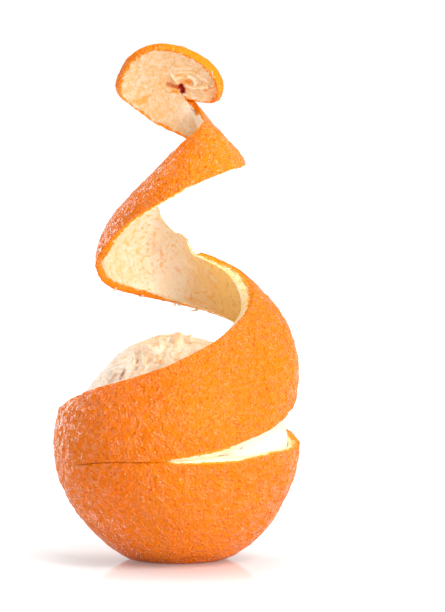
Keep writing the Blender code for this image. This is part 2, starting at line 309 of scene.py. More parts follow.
def outer_skin():
    s = Sheet()
    pole = s.put(globe(np.array(0.0), np.array(0.0), PEEL_R, 0.0), CUT_START, 0, 0)[0]
    start = float(rim_polar(np.array(CUT_START)))
    full = float(rim_polar(np.array(CUT_START + TURN))) - start
    tip = s.put(bowl_point(np.array(CUT_START), np.array(start)), CUT_START, 0, 0)[0]
    A = np.zeros((NA + 1, NB + NU + 1), int)
    A[:, 0] = pole
    t = (np.arange(1, NB) / NB) ** 0.92
    for i in range(NA + 1):
        az = CUT_START + TURN * i / NA
        top = float(rim_polar(np.array(az)))
        band = full * min(1.0, (i / NA) / 0.28) ** 0.8
        low = top - band
        if i == NA:
            A[i, :NB + 1] = A[0, :NB + 1]
            j = np.arange(1, NU + 1) / NU
            A[i, NB + 1:] = s.put(strip_point(np.full(NU, az), j), az, j, 1)
            continue
        A[i, 1:NB] = s.put(bowl_point(np.full(NB - 1, az), low * t), az, 0, 0)
        if i == 0:
            A[i, NB:] = tip
        else:
            j = np.arange(NU + 1) / NU
            A[i, NB:] = s.put(bowl_point(np.full(NU + 1, az), low + band * j), az, 0, 0)
    B = np.zeros((NS + 1, NU + 1), int)
    B[0] = np.concatenate([[tip], A[NA, NB + 1:]])
    az = np.repeat(CUT_START + TURN + (STRIP_END - CUT_START - TURN) * np.arange(1, NS + 1)[:, None] / NS, NU + 1, 1)
    v = np.repeat((np.arange(NU + 1) / NU)[None], NS, 0)
    B[1:] = s.put(strip_point(az, v), az.ravel(), v.ravel(), 1).reshape(NS, NU + 1)
    from_angle, outer = (float(x) for x in cap_polar(strip_point(np.array(STRIP_END), np.array(0.0))))
    notch_angle, inner = (float(x) for x in cap_polar(strip_point(np.array(STRIP_END), np.array(1.0))))
    sweep = TURN - (notch_angle - from_angle)
    C = np.zeros((NC + 1, NU + NK + 1), int)
    scar = s.put(SCAR, STRIP_END, 1, 2)[0]
    C[:, -1] = scar
    C[0, :NU + 1] = B[NS]
    k = np.arange(1, NK) / NK
    C[0, NU + 1:-1] = s.put(cap_point(np.full(NK - 1, notch_angle), inner * (1 - k)), STRIP_END, 1, 2)
    C[NC, :NU + 1] = B[NS, NU]
    C[NC, NU + 1:-1] = C[0, NU + 1:-1]
    for i in range(1, NC):
        turn = sweep * i / NC
        edge = float(along(CAP_OUTLINE, turn * 357 / sweep))
        share = (1 - inner / outer) * min(1.0, (1 - i / NC) / 0.35) ** 0.4
        j = np.arange(NU + 1) / NU
        rad = np.concatenate([edge * (1 - share * j), edge * (1 - share) * (1 - k)])
        C[i, :-1] = s.put(cap_point(np.full(len(rad), from_angle - turn), rad), STRIP_END + turn, 1, 2)
    s.done()
    return s, A, B, C


def quads(G):
    q = np.stack([G[:-1, :-1], G[1:, :-1], G[1:, 1:], G[:-1, 1:]], -1).reshape(-1, 4)
    return q


def stitch(coarse, fine, rows, step):
    """Joins the chosen rows of one column to every row, or every second one, of the next; last corners doubled."""
    out = []
    for r0, r1 in zip(rows[:-1], rows[1:]):
        mid = r0 + (r1 - r0) // 2 // step * step
        for k in range(r0, r1, step):
            apex = coarse[r0] if k < mid else coarse[r1]
            out.append((apex, fine[k], fine[k + step], fine[k + step]))
        out.append((coarse[r0], fine[mid], coarse[r1], coarse[r1]))
    return np.array(out)


def clean(q):
    """Drops doubled corners: quads become triangles at poles and at the cut's ends."""
    faces = []
    same = (q == np.roll(q, 1, axis=1))
    plain = ~same.any(axis=1)
    faces += q[plain].tolist()
    for row, s_ in zip(q[~plain], same[~plain]):
        r = row[~s_]
        if len(r) >= 3:
            faces.append(r.tolist())
    return faces


def point_normals(p, q):
    n = np.zeros_like(p)
    d1, d2 = p[q[:, 2]] - p[q[:, 0]], p[q[:, 3]] - p[q[:, 1]]
    f = np.cross(d1, d2)
    for k in range(4):
        np.add.at(n, q[:, k], f)
    return n / np.maximum(np.linalg.norm(n, axis=1), 1e-12)[:, None]


def relax(p, q, weight, rounds):
    """Evens out the surface where weight is above 0."""
    for _ in range(rounds):
        acc, cnt = np.zeros_like(p), np.zeros(len(p))
        for k in range(4):
            a, b = q[:, k], q[:, (k + 1) % 4]
            ok = a != b
            np.add.at(acc, a[ok], p[b[ok]]); np.add.at(cnt, a[ok], 1)
            np.add.at(acc, b[ok], p[a[ok]]); np.add.at(cnt, b[ok], 1)
        mean = acc / np.maximum(cnt, 1)[:, None]
        p = p + (mean - p) * weight[:, None] * 0.5
    return p


def build_peel():
    s, A, B, C = outer_skin()
    q = np.concatenate([quads(A), quads(B), quads(C)])
    base = s.p
    # boundary: the bowl's rim, the ribbon's upper edge, then back along the stem piece and the lower edge
    ring = np.concatenate([A[:, -1], B[1:, -1], C[::-1, 0][1:-1], B[::-1, 0][:-1]])
    on_edge = np.zeros(len(base), bool)
    on_edge[ring] = True
    near_joint = np.where(s.kind >= 1, bell(np.where(s.kind == 2, STRIP_END, s.az), STRIP_END - 8, 26), 0)
    near_joint *= ~on_edge
    near_joint[C[:, -1]] = 0
    base = relax(base, q, near_joint * np.where(s.kind == 2, 0.0, 1.0), 12)
    sink = steps(SINK, s.az) * (s.kind == 1) * ease(0.0, 0.5, s.v)
    base = base - point_normals(base, q) * sink[:, None]
    nrm = point_normals(base, q)

    thick = along(THICKNESS, np.clip(np.where(s.kind == 0, CUT_START, s.az), CUT_START, STRIP_END))
    # the stem piece in its own flat coordinates
    d = base - SCAR
    ab = np.stack([d @ CAP_X, d @ CAP_Y], -1)
    is_cap = (s.kind == 2)

    # skin relief: slow unevenness, pebbling, and the shallow puckers of the base
    lively = ease(12.0, 34.0, np.abs(base[:, 0]))
    rise = 0.16 * fbm(base, 11.0, 5, 2) + 0.10 * fbm(base, 3.0, 9, 2) + (0.12 + 0.20 * lively) * noise(base, 1.75, 3)
    pucker = bell(np.degrees(np.arctan2(base[:, 1], base[:, 0])) % 360, 287, 16) * bell(base[:, 2], 1.6, 1.6)
    rise = rise - 0.9 * pucker
    low = ease(0.0, 1.2, base[:, 2])
    outer = base + nrm * (rise * low)[:, None]

    # rows thinned out where nothing shows
    rowsA = sorted(set(list(range(0, NB, 10)) + [NB, NB + 10, NB + 20, NB + 30, NB + NU - 2, NB + NU]))
    rowsB = list(range(0, NU + 1, 2))
    rowsC = list(range(0, NU + NK + 1))

    # how far zest and pith reach past the plain edge line (mm), and how far in from it that shows
    v_len = np.linalg.norm(base[B[:, -1]] - base[B[:, 0]], axis=1)
    up_dir = base[B[:, -1]] - base[B[:, -3]]
    up_dir /= np.linalg.norm(up_dir, axis=1)[:, None]
    lo_dir = base[B[:, 0]] - base[B[:, 2]]
    lo_dir /= np.linalg.norm(lo_dir, axis=1)[:, None]
    azB = s.az[B[:, NU // 2]]
    up_out, up_in, lo_out, lo_in = (steps(t_, azB)[:, None] for t_ in (UP_ZEST, UP_PITH, LOW_ZEST, LOW_PITH))
    frayed = ease(372, 388, azB)[:, None]
    edge_p = base[B[:, -1]]
    up_in = up_in + (0.10 + 0.16 * frayed) * noise(edge_p, 1.1, 51)[:, None] + 0.25 * frayed * noise(edge_p, 2.6, 52)[:, None]
    up_out = up_out + 0.12 * noise(edge_p, 1.4, 53)[:, None]
    edge_p = base[B[:, 0]]
    loose = ease(330, 380, azB)[:, None]
    lo_in = lo_in + loose * (0.22 * noise(edge_p, 1.2, 54)[:, None] + 0.2 * noise(edge_p, 3.1, 56)[:, None])
    lo_out = lo_out + loose * 0.16 * noise(edge_p, 1.3, 55)[:, None]
    torn_in, torn_out = (np.interp(azB, *zip(*t_))[:, None] for t_ in (TORN_PITH, TORN_ZEST))
    vv = (np.arange(NU + 1) / NU)[None] * v_len[:, None]          # mm from the lower edge
    from_top = v_len[:, None] - vv
    hold_up, hold_lo = np.exp(-(from_top / 2.6) ** 2), np.exp(-(vv / 2.6) ** 2)
    step_up = np.exp(-(from_top / 4.5) ** 2)
    move_out, move_in = np.zeros_like(base), np.zeros_like(base)
    move_out[B] = up_dir[:, None] * ((up_out * hold_up) + torn_out * step_up)[..., None] + lo_dir[:, None] * (lo_out * hold_lo)[..., None]
    move_in[B] = up_dir[:, None] * ((up_in * hold_up) + torn_in * step_up)[..., None] + lo_dir[:, None] * (lo_in * hold_lo)[..., None]
    tip = A[0, -1]
    move_out[tip] = move_in[tip] = 0
    # bowl's rim: the pith stands a little higher than the zest
    rim = A[:, NB:]
    rimlen = np.linalg.norm(base[A[:, -1]] - base[A[:, NB]], axis=1)
    from_rim = np.linalg.norm(base[rim] - base[A[:, -1]][:, None], axis=-1)
    azA = CUT_START + TURN * np.arange(NA + 1) / NA
    rise_in = steps(RIM_PITH, azA)[:, None] + 0.08 * noise(base[A[:, -1]], 1.2, 57)[:, None] * ease(-144, -120, azA)[:, None]
    lift = rise_in * np.exp(-(from_rim / 2.2) ** 2) * ease(-144, -136, azA)[:, None] * (1 - ease(204, 216, azA))[:, None]
    move_in[rim, 2] += lift
    # where the ribbon leaves the bowl the two cut faces still meet part of the way in
    gap = np.zeros(len(base))
    azs = azB
    open_to = 1 - ease(*CRACK_OPENS, azs)
    gap_b = np.clip(base[B[:, 0], 2] - along(UPPER_EDGE, azs - TURN)[:, 1], 0, None)
    meet_b = open_to * np.clip(CRACK_MEET * gap_b - 0.02, 0, None) * (azs < 330)
    meet_a = np.interp(azA + TURN, azs, meet_b, left=0.0, right=0.0)
    meet = np.zeros(len(base))
    meet[B[:, 0]] = -meet_b
    meet[A[1:NA, -1]] = meet_a[1:NA]
    move_in[B, 2] += (-meet_b)[:, None] * np.exp(-(vv / 1.6) ** 2)
    move_in[rim, 2] += meet_a[:, None] * np.exp(-(from_rim / 1.6) ** 2)
    # stem piece: its cut slopes, widest at the upper right
    rad = np.linalg.norm(ab, axis=1)
    turn = np.where(is_cap, s.az - STRIP_END, 0)
    edge_r = along(CAP_OUTLINE, np.clip(turn, 0, 357))
    slope = steps(CAP_SLOPE, turn) * is_cap
    slope = slope + is_cap * (0.18 * noise(base, 1.4, 58) + 0.2 * noise(base, 4.0, 59)) * ease(5, 25, turn) * (1 - ease(335, 357, turn))
    reach_in = np.clip(edge_r - rad, 0, None)
    jut = steps(BEAK, turn) * is_cap * np.clip(rad / np.maximum(edge_r, 1), 0, 1) ** 2
    pull = slope * np.exp(-(reach_in / 3.2) ** 2) - jut
    radial = (ab[:, :1] * CAP_X + ab[:, 1:] * CAP_Y) / np.maximum(rad, 1e-6)[:, None]
    move_in -= radial * (pull * is_cap)[:, None]
    ragged_rim = is_cap * 0.14 * noise(base, 2.0, 60) * np.exp(-(reach_in / 1.5) ** 2) * ease(5, 25, turn) * (1 - ease(335, 357, turn))
    move_out += radial * (ragged_rim + jut)[:, None]

    outer = outer + move_out
    inner_base = base - nrm * thick[:, None] + move_in

    # pith relief
    pith = 0.16 * fbm(base, 4.0, 21, 3) + 0.05 * noise(base, 0.9, 23)
    # scar, ridges and creases of the stem piece, raised towards its inner side
    up = np.zeros(len(base))
    tone = np.zeros((len(base), 4))      # scar, brown, orange, pale
    for pts, wdt, hgt, pale in RIDGES:
        dist = stroke(ab + 0.22 * np.stack([noise(base, 1.2, 68), noise(base, 1.2, 69)], -1), pts)
        up += is_cap * hgt * np.exp(-(dist / wdt) ** 2)
        worn = 0.62 + 0.38 * noise(base, 0.9, 67)
        tone[:, 3] = np.maximum(tone[:, 3], is_cap * pale * worn * np.exp(-(dist / (wdt * 1.2)) ** 2))
    # stains of the stem piece, and the painted shade along the beak's crease
    for pts, wdt, amount, channel in STAINS_AND_CREASE_SHADE:
        dist = stroke(ab + 0.35 * np.stack([noise(base, 1.1, 61), noise(base, 1.1, 62)], -1), pts)
        tone[:, channel] = np.maximum(tone[:, channel], is_cap * amount * np.exp(-(dist / wdt) ** 6))
    up -= is_cap * 0.9 * np.exp(-(stroke(ab, SCAR_LINE) / 0.8) ** 2)
    # folded beak at the right of the stem piece
    beyond = np.clip((ab[:, 0] - 9.6) * 0.42 - (ab[:, 1] - 2.0) * 0.9, 0, None) * ease(7.5, 10.0, ab[:, 0])
    fold = 0.08 * is_cap * np.clip(beyond, 0, 3.0)
    outer = outer + fold[:, None] * CAP_N
    inner_base = inner_base + fold[:, None] * CAP_N

    face_at = np.stack([base[:, 0], base[:, 2] * cos(radians(3)) + base[:, 1] * sin(radians(3))], -1)
    face_at = face_at + 0.35 * np.stack([noise(base, 1.0, 63), noise(base, 1.0, 64)], -1)
    within = (s.kind == 1) & (s.az > 385) & (s.az < 560)
    for pts, wdt, amount, channel in TEARS:
        at = within * np.exp(-(stroke(face_at, pts) / wdt) ** 2)
        tone[:, channel] = np.maximum(tone[:, channel], amount * at)
        up = up + at * (0.25 if channel == 3 else -0.18)
    # painted light: the ribbon's pith at the back right is painted warm orange, for light coming through the peel and
    # bounced off its orange skin
    warm = within * (1 - ease(415, 452, s.az)) * ease(372, 395, s.az)
    # painted light: the pith is painted paler near the ribbon's end and on a patch of the stem piece, where they lie in
    # shade
    bright = (s.kind == 1) * ease(640, 690, s.az)
    bright = bright + 0.6 * is_cap * np.exp(-((ab[:, 0] - 3.2) ** 2 + (ab[:, 1] + 8.0) ** 2) / 5.0 ** 2)
    bright = bright * (0.8 + 0.2 * noise(base, 1.3, 66))
    # where the bowl's cut opens the pith comes right up to the skin, and there it is painted paler too, as painted
    # light in the shaded gap
    around_az = s.az + 360 * (s.kind == 0)
    thin = ease(262, 271, around_az) * (1 - ease(300, 313, around_az)) * ((s.kind == 0) | ((s.kind == 1) & (s.v < 0.5)))
    bright = np.clip(np.maximum(bright, 0.4 * thin), 0, 1)
    thread = (s.kind == 1) * bell(s.az, 558, 11) * (s.v < 0.03)
    tone[:, 2] = np.maximum(tone[:, 2], thread)
    inner = inner_base + nrm * (pith - up)[:, None]

    # assemble
    P = [outer]
    n0 = len(outer)
    used = np.unique(np.concatenate([A[:, rowsA].ravel(), B[:, rowsB].ravel(), C[:, rowsC].ravel()]))
    inner_id = np.full(n0, -1)
    inner_id[used] = n0 + np.arange(len(used))
    P.append(inner[used])
    depth = [np.zeros(n0), thick[used]]
    face = [np.zeros(n0), np.full(len(used), 2.0)]
    extra = [np.zeros((n0, 4)), tone[used]]
    src = [np.arange(n0), used]

    fq = [clean(q)]
    qi = np.concatenate([quads(A[:NA, rowsA]), quads(A[NA - 1:, [r for r in rowsA if r <= NB]]),
                         stitch(A[NA - 1], A[NA], [r for r in rowsA if r >= NB], 2),
                         quads(B[:NS, rowsB]), stitch(B[NS - 1], B[NS], rowsB, 1), quads(C[:, rowsC])])
    fq.append(clean(inner_id[qi][:, ::-1]))
    # cut faces
    count = n0 + len(used)
    cols = [ring]
    a, b = outer[ring], inner[ring]
    th = thick[ring]
    prev_dir = np.roll(a, -1, 0) - np.roll(a, 1, 0)
    prev_dir /= np.maximum(np.linalg.norm(prev_dir, axis=1), 1e-9)[:, None]
    outward = np.cross(prev_dir, nrm[ring])
    outward /= np.maximum(np.linalg.norm(outward, axis=1), 1e-9)[:, None]
    crack = ((s.kind[ring] == 0) & (s.az[ring] < -60)) | ((s.kind[ring] == 1) & (s.az[ring] < 300) & (s.v[ring] < 0.5))
    for k in range(1, WALL):
        f = k / WALL
        mid = a * (1 - f) + b * f
        rough = 0.16 * noise(mid, 1.3, 41) + 0.12 * noise(mid, 3.7, 43)
        rough = np.where(crack, 0.02 * rough, rough) * sin(pi * f) ** 0.5
        early = meet[ring] * (np.minimum(1.0, f / (0.2 + 0.2 * thin[ring])) - f)
        P.append(mid + outward * rough[:, None] + early[:, None] * np.array((0, 0, 1.0)))
        depth.append(th * f)
        face.append(np.full(len(ring), 1.0))
        extra.append(np.zeros((len(ring), 4)))
        src.append(ring)
        cols.append(count + np.arange(len(ring)))
        count += len(ring)
    cols.append(inner_id[ring])
    W = np.stack(cols, 0)
    W = np.concatenate([W, W[:, :1]], 1)
    wq = np.stack([W[:-1, :-1], W[1:, :-1], W[1:, 1:], W[:-1, 1:]], -1).reshape(-1, 4)
    fq.append(clean(wq[:, ::-1]))
    P, depth, face, extra, src = (np.concatenate(x) for x in (P, depth, face, extra, src))
    line = np.zeros(len(P))
    line[ring], line[inner_id[ring]] = 1.0, 2.0
    faces = fq[0] + fq[1] + fq[2]

    # how thick the zest is, and how far each point is from a cut
    zest = np.where(is_cap, 0.9, np.where(s.az > 420, 1.15, 1.0))
    to_rim = np.full(len(base), 99.0)
    to_rim[B] = vv
    zest = zest + 1.1 * ease(455, 472, s.az) * (1 - ease(560, 585, s.az)) * np.exp(-(to_rim / 0.8) ** 2)
    to_rim[B] = vv + 9 * (1 - ease(660, 735, azB))[:, None]
    to_rim = np.where(is_cap, reach_in, to_rim)
    zest = zest + 2.6 * np.exp(-(to_rim / (1.0 + 0.6 * is_cap * bell(turn, 280, 70) + 0.5 * noise(base, 1.6, 65))) ** 2)
    to_top = np.full(len(base), 99.0)
    to_top[B] = from_top
    zest = zest + 2.4 * ease(750, 757, s.az) * np.exp(-(to_top / 0.9) ** 2)
    zest = zest + np.where(s.kind == 0, 1.3 * (1 - ease(40, 110, s.az)), 0)
    zest = zest + 1.3 * (1 - ease(248, 268, s.az)) * ((s.kind == 1) & (s.v < 0.5))
    zest = zest + 0.7 * ease(230, 262, s.az) * (1 - ease(425, 445, s.az)) * ((s.kind == 1) & (s.v > 0.5))
    zest = zest * (1 - thin) + 0.5 * thin
    zest = zest[src]
    info = {
        "skin": depth / zest,
        "face": face,
        "scar": extra[:, 0], "brown": extra[:, 1], "blush": extra[:, 2], "pale": extra[:, 3],
        "cap": np.maximum(is_cap, (s.kind == 1) * ease(735, 775, s.az))[src],
        "warm": warm[src],
        "bright": bright[src],
        "edge": line,
    }
    return P, faces, info


SCAR_LINE = ((0.3, 2.0), (0.9, 0.9), (0.8, -0.4))
TEARS = (
    # points across and up (mm), width, amount, channel: 2 orange, 3 pale
    (((-8.5, 105.8), (-8.2, 103.5), (-5.9, 102.6)), 0.5, 0.7, 2),
    (((-5.6, 109.5), (-6.6, 107.5), (-7.5, 105.8)), 0.6, 1.0, 3),
    (((-4.3, 108.8), (-5.6, 106.8)), 0.45, 0.8, 3),
    (((-6.2, 104.5), (-5.2, 102.6), (-5.9, 100.6), (-4.6, 98.6)), 0.45, 0.6, 2),
    (((-3.0, 102.2), (-1.6, 100.3)), 0.35, 0.5, 2),
    (((-0.3, 97.3), (1.3, 96.0)), 0.35, 0.6, 2),
    (((-15.1, 101.9), (-14.4, 100.6)), 0.4, 0.6, 2),
    (((-18.0, 97.3), (-17.4, 95.3)), 0.35, 0.5, 2),
    (((4.9, 86.8), (5.9, 85.8)), 0.4, 0.7, 2),
    (((9.2, 84.9), (10.5, 83.9)), 0.35, 0.6, 2),
    (((-8.5, 95.3), (-9.5, 92.7), (-8.2, 91.1)), 0.4, 0.4, 2),
    (((12.1, 96.3), (12.8, 95.7)), 0.35, 0.7, 2),
    (((-13.1, 110.4), (-12.1, 109.1)), 0.35, 0.5, 2),
    (((9.2, 97.3), (11.5, 94.7), (14.4, 90.4)), 0.5, 0.35, 2),
    (((-3.9, 94.7), (-2.3, 89.8)), 0.5, 0.35, 3),
    (((-12.1, 99.6), (-11.2, 96.0)), 0.5, 0.35, 3),
    (((10.5, 96.7), (12.1, 95.3), (13.8, 93.1)), 0.5, 0.7, 3),
)
RIDGES = (
    # points in the stem piece's plane, width, height, paleness
    (((-3.1, 7.2), (-2.4, 5.4), (-1.6, 4.2), (-1.2, 3.4)), 0.42, 0.55, 0.9),
    (((-2.0, 9.3), (0.8, 9.7), (3.6, 9.3)), 0.4, 0.35, 0.6),
    (((-1.9, 7.7), (0.6, 8.0), (3.8, 7.7), (6.2, 6.6)), 0.38, 0.4, 0.7),
    (((-1.7, 5.0), (0.6, 6.0), (2.9, 6.2), (4.6, 5.2), (5.2, 3.6), (4.9, 2.6)), 0.5, 0.65, 1.0),
    (((0.9, 3.4), (2.0, 2.2), (3.6, 1.3), (6.0, 1.6), (9.0, 2.2)), 0.45, 0.5, 0.8),
    (((5.6, 6.5), (7.6, 5.2), (9.4, 4.6)), 0.5, 0.3, 0.4),
    (((9.3, 1.5), (11.0, 2.5), (12.6, 3.4)), 0.3, 0.45, 0.7),
    (((-5.6, 1.6), (-4.6, 0.4), (-3.0, -0.2)), 0.45, 0.3, 0.3),
)
STAINS_AND_CREASE_SHADE = (
    # points, width, amount, channel: 0 scar, 1 brown, 2 orange
    (SCAR_LINE, 1.0, 1.0, 0),
    (((-4.2, 3.0), (-2.6, 2.3)), 0.95, 0.8, 1),
    (((1.5, 3.6), (3.2, 3.7)), 0.85, 0.4, 1),
    (((-3.5, 2.4), (0.2, 1.0)), 2.7, 0.35, 2),
    (((-7.3, 3.5), (-7.0, 3.2)), 0.6, 0.85, 2),
    (((-5.5, 8.9), (-5.0, 8.9)), 0.45, 0.75, 2),
    (((-9.8, 1.0), (-9.6, 0.8)), 0.4, 0.75, 2),
    (((-2.6, 2.3), (-0.2, 1.5)), 0.9, 1.0, 1),
    (((-2.8, 0.1), (-0.8, -0.3)), 0.9, 1.0, 2),
    (((-2.6, 0.1), (-1.2, -0.2)), 0.5, 0.35, 1),
    (((1.3, 3.6), (3.4, 3.7)), 1.15, 0.9, 2),
    (((-1.0, 6.3), (2.4, 6.5)), 0.35, 0.8, 2),
    # painted shade: an orange and a brown line along the crease of the folded beak
    (((8.4, 0.6), (11.2, 2.0), (12.9, 3.0)), 0.42, 0.85, 2),
    (((8.8, 0.8), (11.2, 2.0), (12.7, 2.9)), 0.3, 0.5, 1),
    (((-15.6, -2.6), (-13.6, -2.4), (-11.6, -1.6), (-10.2, -1.2)), 0.8, 0.9, 2),
    (((-14.0, -3.6), (-12.0, -3.0)), 0.9, 0.9, 2),
    (((2.4, -2.8), (4.6, -4.4), (6.2, -6.4)), 0.8, 0.7, 2),
)


def mesh_object(name, P, faces, info, material, slot, node=None):
    me = bpy.data.meshes.new(name)
    me.from_pydata((P * MM).tolist(), [], faces)
    for key, val in info.items():
        at = me.attributes.new(key, 'FLOAT', 'POINT')
        at.data.foreach_set("value", np.ascontiguousarray(val, np.float32))
    me.materials.append(material)
    me.shade_smooth()
    if "face" in info:
        ends = np.empty(len(me.edges) * 2, np.int32)
        me.edges.foreach_get("vertices", ends)
        ends = ends.reshape(-1, 2)
        edge = info["edge"]
        crisp = (edge[ends[:, 0]] > 0) & (edge[ends[:, 0]] == edge[ends[:, 1]])
        me.attributes.new("sharp_edge", 'BOOLEAN', 'EDGE').data.foreach_set("value", crisp)
    me.update()
    ob = bpy.data.objects.new(name, me)
    bpy.context.scene.collection.objects.link(ob)
    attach(ob, "root")
    if node:
        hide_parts(node)
    return ob


# ---------------------------------------------------------------- fruit
FRUIT_MARKS = (
    # points across and up (mm), width, amount, channel: 0 tan, 1 brown, 2 orange
    (((-18.4, 59.9), (-17.7, 61.2), (-16.9, 62.4)), 0.4, 0.95, 1),
    (((-13.1, 65.7), (-12.9, 66.2)), 0.35, 0.9, 1),
    (((-13.4, 63.5), (-13.1, 64.2)), 0.35, 0.8, 1),
    (((-5.5, 65.0), (-5.2, 65.3)), 0.55, 0.95, 2),
    (((-6.6, 66.8), (-6.1, 67.5)), 0.4, 0.8, 0),
    (((-0.3, 65.8), (0.7, 66.5)), 0.5, 0.7, 0),
    (((0.7, 67.5), (1.5, 68.1)), 0.45, 0.7, 0),
    (((-22.6, 58.6), (-21.0, 59.8), (-19.5, 61.2)), 0.45, 0.7, 0),
    (((-20.7, 64.4), (-19.7, 65.0)), 0.6, 0.5, 2),
    (((-17.5, 65.8), (-16.7, 66.5)), 0.5, 0.5, 2),
    (((2.3, 71.9), (4.3, 71.2), (6.9, 71.2), (9.2, 70.7)), 0.4, 0.75, 0),
    (((-0.3, 70.7), (0.3, 72.4), (1.3, 73.7)), 0.9, 0.6, 0),
    (((-8.9, 63.2), (-7.2, 64.5), (-4.6, 67.8), (-3.0, 69.8)), 0.35, 0.5, 0),
    (((-12.1, 61.2), (-10.5, 64.5), (-8.2, 67.8)), 0.35, 0.45, 0),
    (((-16.1, 59.3), (-14.4, 62.5), (-12.5, 67.8)), 0.4, 0.45, 0),
    (((4.9, 68.5), (3.0, 66.5), (1.3, 64.8)), 0.4, 0.55, 0),
    (((6.9, 33.4), (7.7, 33.7)), 0.5, 0.7, 0),
    (((10.8, 33.0), (11.8, 33.8)), 0.45, 0.6, 0),
    (((14.8, 33.7), (15.4, 34.3)), 0.5, 0.6, 0),
    (((20.0, 34.0), (20.7, 34.5)), 0.5, 0.6, 0),
    (((20.8, 37.5), (21.3, 37.8)), 0.3, 0.9, 1),
)
FRUIT_LUMPS = (
    # points across and up (mm), width, height
    (((-0.3, 71.1), (0.7, 73.0)), 1.3, 0.7),
    (((4.4, 73.0), (4.6, 74.0)), 0.5, 0.8),
    (((-5.9, 71.1), (-5.7, 72.4)), 0.9, 0.5),
    (((-11.8, 70.1), (-8.9, 70.6)), 2.2, 0.6),
    (((-17.7, 67.8), (-14.4, 69.4)), 2.0, 0.5),
    (((-22.0, 62.9), (-19.4, 65.5)), 2.2, 0.35),
    (((-3.0, 72.4), (-1.6, 73.0)), 1.2, 0.4),
    (((-8.9, 66.5), (-7.2, 69.1)), 1.6, -0.5),
    (((-14.8, 61.2), (-12.8, 65.2)), 1.4, -0.5),
)


def az_of(p):
    return np.degrees(np.arctan2(p[..., 1], p[..., 0]))


def fruit_radius(az, polar):
    top = ease(95, 140, polar)
    a = np.radians(az)
    furrow = 0.55 * top * (1 - ease(165, 180, polar)) * np.abs(np.cos(a * 5)) ** 6
    hollow = 0.5 * bell(polar, 180, 7)
    lumps = 0.35 * top * (np.sin(np.radians(3 * az + 40)) * np.sin(np.radians(4 * polar)) - 1)
    crown = 0.9 * bell(polar, 180, 26)
    shoulder = 1.3 * bell(az % 360, 200, 50) * bell(polar, 138, 22)
    snug = 0.33 * bell(polar, 90, 13)
    return PEEL_R - PEEL_T - FRUIT_GAP - furrow - hollow + lumps + crown - shoulder + snug


def build_fruit():
    nc, floor = 420, PEEL_T + FRUIT_GAP
    pol = np.concatenate([np.linspace(8, 82, 8), np.linspace(84.0, 179.4, 222)])
    az = np.arange(nc) * 360.0 / nc
    AZ, PO = np.meshgrid(az, pol, indexing='ij')
    R = fruit_radius(AZ, PO)
    P = globe(AZ, PO, R, floor)
    free = ease(88, 100, PO)
    d = P - np.array((0, 0, CENTRE_H))
    n = d / np.linalg.norm(d, axis=-1)[..., None]
    strands = np.clip(1 - np.abs(noise(P * np.array((1, 1, 0.35)), 3.2, 71)) * 5, 0, 1) ** 2
    # seen from the front: across, and height with the far side a little higher
    face = np.stack([P[..., 0], P[..., 2] * cos(radians(3)) + P[..., 1] * sin(radians(3))], -1)
    front = (P[..., 1] < 4.0) & (P[..., 2] > CENTRE_H)
    wander = 0.25 * np.stack([noise(P, 0.9, 81), noise(P, 0.9, 82)], -1)
    marks = np.zeros(P.shape[:-1] + (3,))
    lumps = np.zeros(P.shape[:-1])
    for pts, wdt, amount, channel in FRUIT_MARKS:
        at = front * amount * np.exp(-(stroke(face + wander, pts) / wdt) ** 2)
        marks[..., channel] = np.maximum(marks[..., channel], at)
    for pts, wdt, hgt in FRUIT_LUMPS:
        lumps += front * hgt * np.exp(-(stroke(face, pts) / wdt) ** 2)
    creases = np.clip(1 - np.abs(noise(P, 4.2, 77)) * 4, 0, 1)
    rise = free * (0.75 * fbm(P, 6.0, 73, 3) - 0.20 + 0.28 * strands - 0.35 * creases + 0.12 * noise(P, 0.9, 75) + lumps)
    P = P + n * rise[..., None]
    Pf = P.reshape(-1, 3)
    nr = len(pol)
    G = np.arange(nc * nr).reshape(nc, nr)
    bot, topi = nc * nr, nc * nr + 1
    Pf = np.concatenate([Pf, [[0, 0, floor]], [[0, 0, P[:, -1, 2].mean()]]])
    Gw = np.concatenate([G, G[:1]], 0)
    q = np.stack([Gw[:-1, :-1], Gw[1:, :-1], Gw[1:, 1:], Gw[:-1, 1:]], -1).reshape(-1, 4)
    faces = q.tolist()
    for i in range(nc):
        k = (i + 1) % nc
        faces.append([bot, int(G[k, 0]), int(G[i, 0])])
        faces.append([topi, int(G[i, -1]), int(G[k, -1])])
    # white: painted light, the fruit painted paler in the shaded gap between the bowl's rim and the ribbon
    info = {"strand": strands * free, "tan": marks[..., 0], "brown": marks[..., 1], "blush": marks[..., 2],
            "white": bell(az_of(P), -35, 45) * bell(PO, 92, 18)}
    return Pf, faces, {k: np.concatenate([v.ravel(), [0, 0]]) for k, v in info.items()}


